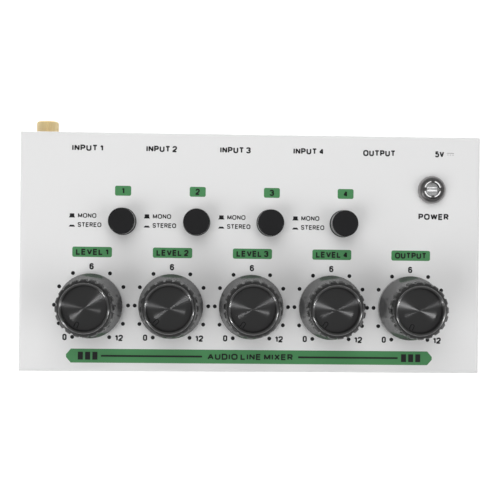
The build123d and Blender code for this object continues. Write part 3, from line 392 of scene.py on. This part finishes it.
# Plain block letters drawn with a broad pen: each glyph is its strokes, in cap heights. A third number at a
# point is the radius that the pen rounds it with, and a stroke that ends where it began is closed.
GLYPHS = {
    "A": [[(0, 0), (0.36, 1), (0.72, 0)], [(0.12, 0.34), (0.60, 0.34)]],
    "D": [[(0, 0), (0, 1), (0.66, 1, 0.33), (0.66, 0, 0.33), (0, 0)]],
    "E": [[(0.56, 1), (0, 1), (0, 0), (0.56, 0)], [(0, 0.52), (0.52, 0.52)]],
    "I": [[(0, 0), (0, 1)]],
    "L": [[(0, 1), (0, 0), (0.54, 0)]],
    "M": [[(0, 0), (0, 1), (0.38, 0.08), (0.76, 1), (0.76, 0)]],
    "N": [[(0, 0), (0, 1), (0.60, 0), (0.60, 1)]],
    "O": [[(0, 0.5), (0, 1, 0.36), (0.74, 1, 0.36), (0.74, 0, 0.36), (0, 0, 0.36), (0, 0.5)]],
    "P": [[(0, 0), (0, 1), (0.58, 1, 0.26), (0.58, 0.46, 0.26), (0, 0.46)]],
    "R": [[(0, 0), (0, 1), (0.58, 1, 0.25), (0.58, 0.48, 0.25), (0, 0.48)], [(0.32, 0.48), (0.60, 0)]],
    "S": [[(0.58, 0.78), (0.58, 1, 0.22), (0, 1, 0.24), (0, 0.53, 0.22), (0.58, 0.47, 0.22), (0.58, 0, 0.24),
           (0, 0, 0.22), (0, 0.22)]],
    "T": [[(0, 1), (0.64, 1)], [(0.32, 1), (0.32, 0)]],
    "U": [[(0, 1), (0, 0, 0.30), (0.62, 0, 0.30), (0.62, 1)]],
    "V": [[(0, 1), (0.34, 0), (0.68, 1)]],
    "W": [[(0, 1), (0.24, 0), (0.48, 1), (0.72, 0), (0.96, 1)]],
    "X": [[(0, 0), (0.64, 1)], [(0, 1), (0.64, 0)]],
    "0": [[(0, 0.5), (0, 1, 0.26), (0.54, 1, 0.26), (0.54, 0, 0.26), (0, 0, 0.26), (0, 0.5)]],
    "1": [[(0, 0.74), (0.26, 1), (0.26, 0)]],
    "2": [[(0, 0.74), (0, 1, 0.25), (0.54, 1, 0.24), (0.54, 0.56, 0.18), (0, 0.10), (0, 0), (0.56, 0)]],
    "3": [[(0, 0.80), (0, 1, 0.18), (0.52, 1, 0.24), (0.52, 0.54, 0.20), (0.20, 0.54)],
          [(0.20, 0.54), (0.54, 0.54, 0.24), (0.54, 0, 0.26), (0, 0, 0.20), (0, 0.22)]],
    "4": [[(0.44, 0), (0.44, 1), (0, 0.28), (0.60, 0.28)]],
    "5": [[(0.50, 1), (0.06, 1), (0.02, 0.50), (0.10, 0.64, 0.08), (0.54, 0.64, 0.28), (0.54, 0, 0.28),
           (0, 0, 0.20), (0, 0.22)]],
    "6": [[(0.52, 0.80), (0.52, 1, 0.20), (0, 1, 0.28), (0, 0, 0.28), (0.54, 0, 0.26), (0.54, 0.60, 0.26),
           (0.02, 0.60, 0.24), (0.02, 0.34)]],
}
SPACE_WIDTH = 0.26
SHARPEST_MITRE = math.radians(100)
LONGEST_MITRE = 2  # in half widths of the stroke
SAME_POINT = 1e-7


def rounded_stroke(points, steps=5):
    """The stroke as paths of points, with each radius turned into a short curve. A turn too sharp for a mitre
    ends one path and starts the next."""
    path = []
    paths = [path]
    for n, point in enumerate(points):
        at = Vector(point[:2])
        if len(point) == 2:
            path.append(at)
            if 0 < n < len(points) - 1:
                into = at - Vector(points[n - 1][:2])
                out = Vector(points[n + 1][:2]) - at
                if into.angle(out) > SHARPEST_MITRE:
                    path = [at]
                    paths.append(path)
            continue
        back = (Vector(points[n - 1][:2]) - at).normalized()
        on = (Vector(points[n + 1][:2]) - at).normalized()
        start = at + back * point[2]
        end = at + on * point[2]
        for step in range(steps + 1):
            t = step / steps
            path.append(start * (1 - t) ** 2 + at * 2 * t * (1 - t) + end * t ** 2)
    return paths


def add_stroke(builder, path, half, low, high):
    """A closed ribbon of even width along a path of plan points."""
    path = [p for n, p in enumerate(path) if n == 0 or (p - path[n - 1]).length > SAME_POINT]
    closed = (path[0] - path[-1]).length < SAME_POINT
    if closed:
        path = path[:-1]
    count = len(path)
    rows = []
    for n, at in enumerate(path):
        before = path[n - 1] if closed or n > 0 else None
        after = path[(n + 1) % count] if closed or n < count - 1 else None
        into = (at - before).normalized() if before is not None else (after - at).normalized()
        out = (after - at).normalized() if after is not None else into
        normal = Vector((-(into + out).y, (into + out).x)).normalized()
        mitre = half / abs(normal.dot(Vector((-into.y, into.x))))
        reach = min(LONGEST_MITRE * half, mitre)
        sides = (at + normal * reach, at - normal * reach)
        rows.append([builder.verts.new((p.x, p.y, z)) for z in (low, high) for p in sides])
    for n in range(count if closed else count - 1):
        a, b = rows[n], rows[(n + 1) % count]
        for i, j in ((0, 1), (1, 3), (3, 2), (2, 0)):
            builder.faces.new((a[i], a[j], b[j], b[i]))
    if not closed:
        for end in (rows[0], rows[-1]):
            builder.faces.new((end[0], end[1], end[3], end[2]))


LETTER_GAP = 0.15  # in cap heights


def add_text(builder, words, x, y, width, height, low, high, weight):
    """Words in the block letters above, filling a width and height about a centre. weight is the pen's width,
    in cap heights."""
    strokes = []
    pen_x = 0
    for letter in words:
        if letter == " ":
            pen_x += SPACE_WIDTH
            continue
        glyph = [path for stroke in GLYPHS[letter] for path in rounded_stroke(stroke)]
        for path in glyph:
            strokes.append([p + Vector((pen_x, 0)) for p in path])
        pen_x += max(p.x for path in glyph for p in path) + weight + LETTER_GAP
    span = max(p.x for path in strokes for p in path)
    half = weight * height / 2
    stretch = Vector(((width - 2 * half) / span, height - 2 * half))
    corner = Vector((x - stretch.x * span / 2, y - stretch.y / 2))
    for path in strokes:
        placed = [corner + Vector((p.x * stretch.x, p.y * stretch.y)) for p in path]
        add_stroke(builder, placed, half, low, high)


# ---- printed legends: thin raised ink on the panel, one piece per colour ----

INK_LOW = PANEL_Z - 0.01 * MM
INK_HIGH = PANEL_Z + 0.02 * MM
OVERPRINT_HIGH = PANEL_Z + 0.04 * MM

# all from here to the banner in millimetres, unless multiplied by MM
BOLD = 0.24  # width of the printing pen, in cap heights
LIGHT = 0.20  # the same for the small words beside the buttons
CAP_HEIGHT = 1.95
SMALL_CAP_HEIGHT = 1.5
FIGURE_HEIGHT = 2.0
FIGURE_WIDTH = 1.35
PAIR_WIDTH = 2.6  # the figure 12
BADGE_ONE_WIDTH = 0.8  # the figure 1 on a badge
BADGE_FIGURE_WIDTH = 1.4
INPUT_WIDTH = 9.75
OUTPUT_WIDTH = 10.4
VOLTS_WIDTH = 2.9
POWER_WIDTH = 9.75
LEVEL_WIDTH = 10.2
MONO_WIDTH = 5.8
STEREO_WIDTH = 7.45
TITLE_WIDTH = 27.2

REAR_LEGEND_INSET = 5.2 * MM  # rear edge of the panel to the row of socket names
OUTPUT_SHIFT = Vector((-0.7, -0.25)) * MM  # from above the output jack
VOLTS_SHIFT = Vector((-0.9, -0.3)) * MM  # from above the power socket
POWER_SHIFT = Vector((0.75, -8.5)) * MM  # from the lamp
PRINT_SHIFT = 0.2 * MM  # the knobs' printing lies this far right of them

SIGN_SHIFT = 2.6 * MM  # power socket to the direct-current sign
SIGN_WIDTH = 2.3 * MM
SIGN_LINE = 0.10 * MM
SIGN_CORNER = 0.03 * MM
SIGN_BAR_RISE = 0.1 * MM
SIGN_DASH_DROP = 0.45 * MM
SIGN_DASH = 0.45 * MM
SIGN_DASH_PITCH = 0.85 * MM

PRINT_PITCH = 23.62 * MM  # of the badges and switch legends
PRINT_START = -40.95 * MM  # first badge, from the middle of the panel
BADGE_RISE = 9.6 * MM  # button row to the numbered badges
BADGE = {"width": 5.1, "height": 3.15, "radius": 0.55}
WORDS_SHIFT = -14.15 * MM  # badge to the left end of the words
MONO_RISE = 1.62 * MM  # button row to each word
STEREO_RISE = -1.28 * MM
MONO_SHIFT = 2.92 * MM  # left end of the words to each word's middle
STEREO_SHIFT = 3.7 * MM
ICON_SHIFT = -1.85 * MM
PRESSED_RISE = -0.3 * MM
RAISED_ICON = [(-1.0, -0.7), (1.0, -0.7), (0.7, -0.2), (0.7, 0.6), (-0.7, 0.6), (-0.7, -0.2)]
PRESSED_ICON = [(-1.0, -0.4), (1.0, -0.4), (0.6, 0.2), (-0.6, 0.2)]

TITLE_RISE = 16.85 * MM  # knob row to the level badges
TITLE_SHIFT = 0.12 * MM
LEVEL_BADGE = {"width": 12.5, "height": 3.25, "radius": 0.6}
DOT_CIRCLE = 11.66 * MM
DOT_RADIUS = 0.62 * MM
DOT_SIDES = 24
SCALE_SWEEP = 300
SCALE_STEPS = 10
SCALE_FIGURES = (  # each figure's width and its place from the knob's middle
    ("6", FIGURE_WIDTH, Vector((0, 12.3)) * MM),
    ("0", FIGURE_WIDTH, Vector((-8.25, -10.15)) * MM),
    ("12", PAIR_WIDTH, Vector((8.9, -10.3)) * MM),
)

BANNER_DROP = 16.0 * MM  # knob row to the banner's middle
BANNER_HALF = 58.3
BANNER_RISE = 2.2
BANNER_TIP = 0.45
BANNER_SLANT = 1.5
BARS_START = 49.2  # middle of the panel to the first of the three bars at each end
BAR_PITCH = 2.29
BAR_COUNT = 3
BAR = {"width": 1.6 * MM, "height": 2.5 * MM, "radius": 0.05 * MM}
RULE_SHIFT = 31.3
RULE = {"width": 32.0 * MM, "height": 0.58 * MM, "radius": 0.1 * MM}

knob_row_y = middle(DISCS[0]).y
button_row_y = middle(BUTTONS[0]).y
lamp = middle("power_led")
black = bmesh.new()
green = bmesh.new()
overprint = bmesh.new()


def mm_text(builder, words, x, y, width, height=CAP_HEIGHT, weight=BOLD):
    """Text sized in millimetres, printed straight on the panel or over a green patch."""
    low, high = (INK_HIGH, OVERPRINT_HIGH) if builder is overprint else (INK_LOW, INK_HIGH)
    add_text(builder, words, x, y, width * MM, height * MM, low, high, weight)


def mm_patch(x, y, width, height, radius):
    """A green patch sized in millimetres."""
    add_prism(green, rounded_points(x, y, width * MM, height * MM, radius * MM), INK_LOW, INK_HIGH)


def mm_shape(builder, outline, x, y):
    """A flat shape with an outline in millimetres about a place on the panel."""
    add_prism(builder, [(x + a * MM, y + b * MM) for a, b in outline], INK_LOW, INK_HIGH)


# socket names along the rear edge, and the lamp's name
name_y = PANEL_HIGH.y - REAR_LEGEND_INSET
output_x = middle("output_jack").x
power_x = middle("power_socket").x
for number, jack in enumerate(INPUTS, start=1):
    mm_text(black, f"INPUT {number}", middle(jack).x, name_y, INPUT_WIDTH)
mm_text(black, "OUTPUT", output_x + OUTPUT_SHIFT.x, name_y + OUTPUT_SHIFT.y, OUTPUT_WIDTH)
mm_text(black, "5V", power_x + VOLTS_SHIFT.x, name_y + VOLTS_SHIFT.y, VOLTS_WIDTH)
mm_text(black, "POWER", lamp.x + POWER_SHIFT.x, lamp.y + POWER_SHIFT.y, POWER_WIDTH)

# the direct-current sign: a bar over three dashes
sign_x = power_x + SIGN_SHIFT
bar_outline = rounded_points(sign_x, name_y + SIGN_BAR_RISE, SIGN_WIDTH, SIGN_LINE, SIGN_CORNER)
add_prism(black, bar_outline, INK_LOW, INK_HIGH)
for dash in (-1, 0, 1):
    dash_x = sign_x + dash * SIGN_DASH_PITCH
    dash_outline = rounded_points(dash_x, name_y - SIGN_DASH_DROP, SIGN_DASH, SIGN_LINE, SIGN_CORNER)
    add_prism(black, dash_outline, INK_LOW, INK_HIGH)

# numbered badges and the mono and stereo signs at the buttons
for n in range(len(BUTTONS)):
    badge_x = PANEL_CENTRE.x + PRINT_START + n * PRINT_PITCH
    badge_y = button_row_y + BADGE_RISE
    mm_patch(badge_x, badge_y, **BADGE)
    mm_text(overprint, str(n + 1), badge_x, badge_y, BADGE_ONE_WIDTH if n == 0 else BADGE_FIGURE_WIDTH)
    words_x = badge_x + WORDS_SHIFT
    mono_y = button_row_y + MONO_RISE
    stereo_y = button_row_y + STEREO_RISE
    mm_text(black, "MONO", words_x + MONO_SHIFT, mono_y, MONO_WIDTH, SMALL_CAP_HEIGHT, LIGHT)
    mm_text(black, "STEREO", words_x + STEREO_SHIFT, stereo_y, STEREO_WIDTH, SMALL_CAP_HEIGHT, LIGHT)
    mm_shape(black, RAISED_ICON, words_x + ICON_SHIFT, mono_y)
    mm_shape(black, PRESSED_ICON, words_x + ICON_SHIFT, stereo_y + PRESSED_RISE)

# level badges, scale dots and figures round each knob
for n, disc in enumerate(DISCS):
    knob_x = middle(disc).x + PRINT_SHIFT
    title = "OUTPUT" if n == len(DISCS) - 1 else f"LEVEL {n + 1}"
    mm_patch(knob_x + TITLE_SHIFT, knob_row_y + TITLE_RISE, **LEVEL_BADGE)
    mm_text(overprint, title, knob_x + TITLE_SHIFT, knob_row_y + TITLE_RISE, LEVEL_WIDTH)
    for step in range(SCALE_STEPS + 1):
        heading = math.radians(-SCALE_SWEEP / 2 + step * SCALE_SWEEP / SCALE_STEPS)
        if step * 2 != SCALE_STEPS:
            dot_x = knob_x + DOT_CIRCLE * math.sin(heading)
            dot_y = knob_row_y + DOT_CIRCLE * math.cos(heading)
            add_prism(black, circle_points(dot_x, dot_y, DOT_RADIUS, DOT_SIDES), INK_LOW, INK_HIGH)
    for figure, width, place in SCALE_FIGURES:
        mm_text(black, figure, knob_x + place.x, knob_row_y + place.y, width, FIGURE_HEIGHT)

# the banner along the front, with bars, rules and a plain title
banner_y = knob_row_y - BANNER_DROP
half_outline = [
    (BANNER_HALF - BANNER_SLANT, BANNER_RISE),
    (BANNER_HALF, BANNER_TIP),
    (BANNER_HALF, -BANNER_TIP),
    (BANNER_HALF - BANNER_SLANT, -BANNER_RISE),
]
mm_shape(green, half_outline + [(-a, -b) for a, b in half_outline], PANEL_CENTRE.x, banner_y)
for side in (-1, 1):
    for bar in range(BAR_COUNT):
        bar_x = PANEL_CENTRE.x + side * (BARS_START + BAR_PITCH * bar) * MM
        add_prism(overprint, rounded_points(bar_x, banner_y, **BAR), INK_HIGH, OVERPRINT_HIGH)
    rule_x = PANEL_CENTRE.x + side * RULE_SHIFT * MM
    add_prism(overprint, rounded_points(rule_x, banner_y, **RULE), INK_HIGH, OVERPRINT_HIGH)
mm_text(overprint, "AUDIO LINE MIXER", PANEL_CENTRE.x, banner_y, TITLE_WIDTH)

# the printing sits a little askew on the panel
PRINT_TURN = math.radians(-0.12)
for print_builder in (black, green, overprint):
    bmesh.ops.rotate(print_builder, cent=PANEL_CENTRE, matrix=Matrix.Rotation(PRINT_TURN, 3, "Z"),
                     verts=print_builder.verts)

as_object("panel_legend_black", black, BLACK_INK, "case")
as_object("panel_legend_green", green, GREEN_INK, "case")
as_object("panel_legend_overprint", overprint, BLACK_INK, "case")

# ---- painted shade in the discs' pointer grooves: a black fill where the engraved grooves are shaded ----

POINTER_OUTSIDE = 0.7 * MM
POINTER_GROOVE = 0.35 * MM
POINTER_RADIUS = POINTER_OUTSIDE - POINTER_GROOVE / 2  # of the bend, in the middle of the groove
POINTER_LEG = 1.15 * MM
POINTER_REACH = 5.2 * MM  # disc's centre to the horseshoe's bend
DISC_FLAT_DEPTH = 1.9 * MM  # rim down to the flat
GROOVE_DEPTH = 0.3 * MM
GROOVE_SHADE_DROP = 0.05 * MM
GROOVE_SHADE_FILL = 0.96  # of the groove's width
BEND_STEPS = 12
POINTER_HEADINGS = (-155.0, -136.0, -147.0, -143.0, -155.0)  # clockwise from the rear, in degrees
LEVEL_BODIES = [next(body for body, nodes in BODIES.items() if disc in nodes) for disc in DISCS]

for disc, body, heading in zip(DISCS, LEVEL_BODIES, POINTER_HEADINGS):
    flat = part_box(disc)[1].z - DISC_FLAT_DEPTH
    facing = Matrix.Rotation(math.radians(90 - heading), 2)
    centre = Vector((middle(disc).x, middle(disc).y)) + facing @ Vector((POINTER_REACH, 0))
    path = [Vector((POINTER_LEG, POINTER_RADIUS))]
    for step in range(BEND_STEPS + 1):
        angle = math.pi / 2 + math.pi * step / BEND_STEPS
        path.append(Vector((math.cos(angle), math.sin(angle))) * POINTER_RADIUS)
    path.append(Vector((POINTER_LEG, -POINTER_RADIUS)))
    # the black fill stands for the engraved groove's own shading: painted shade
    groove_shade = bmesh.new()
    add_stroke(groove_shade, [centre + facing @ p for p in path], POINTER_GROOVE / 2 * GROOVE_SHADE_FILL,
               flat - GROOVE_DEPTH, flat - GROOVE_SHADE_DROP)
    as_object(f"{disc}_pointer_groove_painted_shade", groove_shade, BLACK_INK, body)

# ---- inside the lamp: the clip's white ring with its four claws, the lead frame and its reflector cup; the ring and lead frame carry a painted glow ----

LAMP_LEAN = Vector((0.08, 0.15)) * MM  # these pieces stand a little off the lamp's middle
BEZEL_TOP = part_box("led_bezel")[1].z
LENS_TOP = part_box("power_led")[1].z
LAMP_SIDES = 48
CLIP_INSIDE = 2.36 * MM
CLIP_OUTSIDE = 2.68 * MM
CLIP_HEIGHTS = (BEZEL_TOP - 1.1 * MM, BEZEL_TOP - 0.75 * MM)
CLAW_COUNT = 4
CLAW_OUTLINE = [(1.95, -0.28), (1.95, 0.28), (2.45, 0.55), (2.85, 0.62), (2.85, -0.62), (2.45, -0.55)]
CLAW_HEIGHTS = (BEZEL_TOP - 0.7 * MM, BEZEL_TOP - 0.3 * MM)
LEAD_LENGTH = 2.7 * MM
LEAD_CORNER = 0.08 * MM
LEAD_BARS = ((0.42 * MM, 0.28 * MM), (-0.30 * MM, 0.42 * MM))  # each bar's place and thickness
LEAD_HEIGHTS = (LENS_TOP - 1.75 * MM, LENS_TOP - 1.55 * MM)
CUP_RADIUS = 2.3 * MM
CUP_HEIGHTS = (LENS_TOP - 2.3 * MM, LENS_TOP - 2.15 * MM)

lamp_x = lamp.x + LAMP_LEAN.x
lamp_y = lamp.y + LAMP_LEAN.y


def add_ring(builder, x, y, inner, outer, low, high, count):
    """A flat ring with a square section."""
    rows = []
    for n in range(count):
        a = math.tau * n / count
        rows.append([
            builder.verts.new((x + r * math.cos(a), y + r * math.sin(a), z))
            for r, z in ((inner, low), (outer, low), (outer, high), (inner, high))
        ])
    for n in range(count):
        a, b = rows[n], rows[(n + 1) % count]
        for i in range(4):
            j = (i + 1) % 4
            builder.faces.new((a[i], a[j], b[j], b[i]))


clip = bmesh.new()
add_ring(clip, lamp_x, lamp_y, CLIP_INSIDE, CLIP_OUTSIDE, *CLIP_HEIGHTS, LAMP_SIDES)
as_object("lamp_clip_ring", clip, CLIP_PLASTIC_WITH_PAINTED_GLOW, "case")

claws = bmesh.new()
for claw in range(CLAW_COUNT):
    turn = Matrix.Rotation(math.tau * claw / CLAW_COUNT, 2)
    points = [Vector((lamp_x, lamp_y)) + turn @ (Vector(p) * MM) for p in CLAW_OUTLINE]
    add_prism(claws, [tuple(p) for p in points], *CLAW_HEIGHTS)
as_object("lamp_clip_claws", claws, BEZEL_METAL, "case")

leads = bmesh.new()
for rise, thickness in LEAD_BARS:
    outline = rounded_points(lamp_x, lamp_y + rise, LEAD_LENGTH, thickness, LEAD_CORNER)
    add_prism(leads, outline, *LEAD_HEIGHTS)
as_object("lamp_lead_frame", leads, CLIP_PLASTIC_WITH_PAINTED_GLOW, "case")

cup = bmesh.new()
add_prism(cup, circle_points(lamp_x, lamp_y, CUP_RADIUS, LAMP_SIDES), *CUP_HEIGHTS)
as_object("lamp_reflector_cup", cup, REFLECTOR, "case")

# ---- stage ----

FLOOR_HALF = 1.5
floor_builder = bmesh.new()
corners = ((-1, -1), (1, -1), (1, 1), (-1, 1))
floor_builder.faces.new([floor_builder.verts.new((x * FLOOR_HALF, y * FLOOR_HALF, 0)) for x, y in corners])
floor_mesh = bpy.data.meshes.new("floor")
floor_builder.to_mesh(floor_mesh)
floor_builder.free()
FLOOR_FINISH = finish("pale_floor", (0.93, 0.93, 0.93), 0.6, mottle=0.005, Emission_Color=(1, 1, 1, 1),
                      Emission_Strength=0.60)
floor_mesh.materials.append(FLOOR_FINISH)
floor = bpy.data.objects.new("floor", floor_mesh)
bpy.context.scene.collection.objects.link(floor)
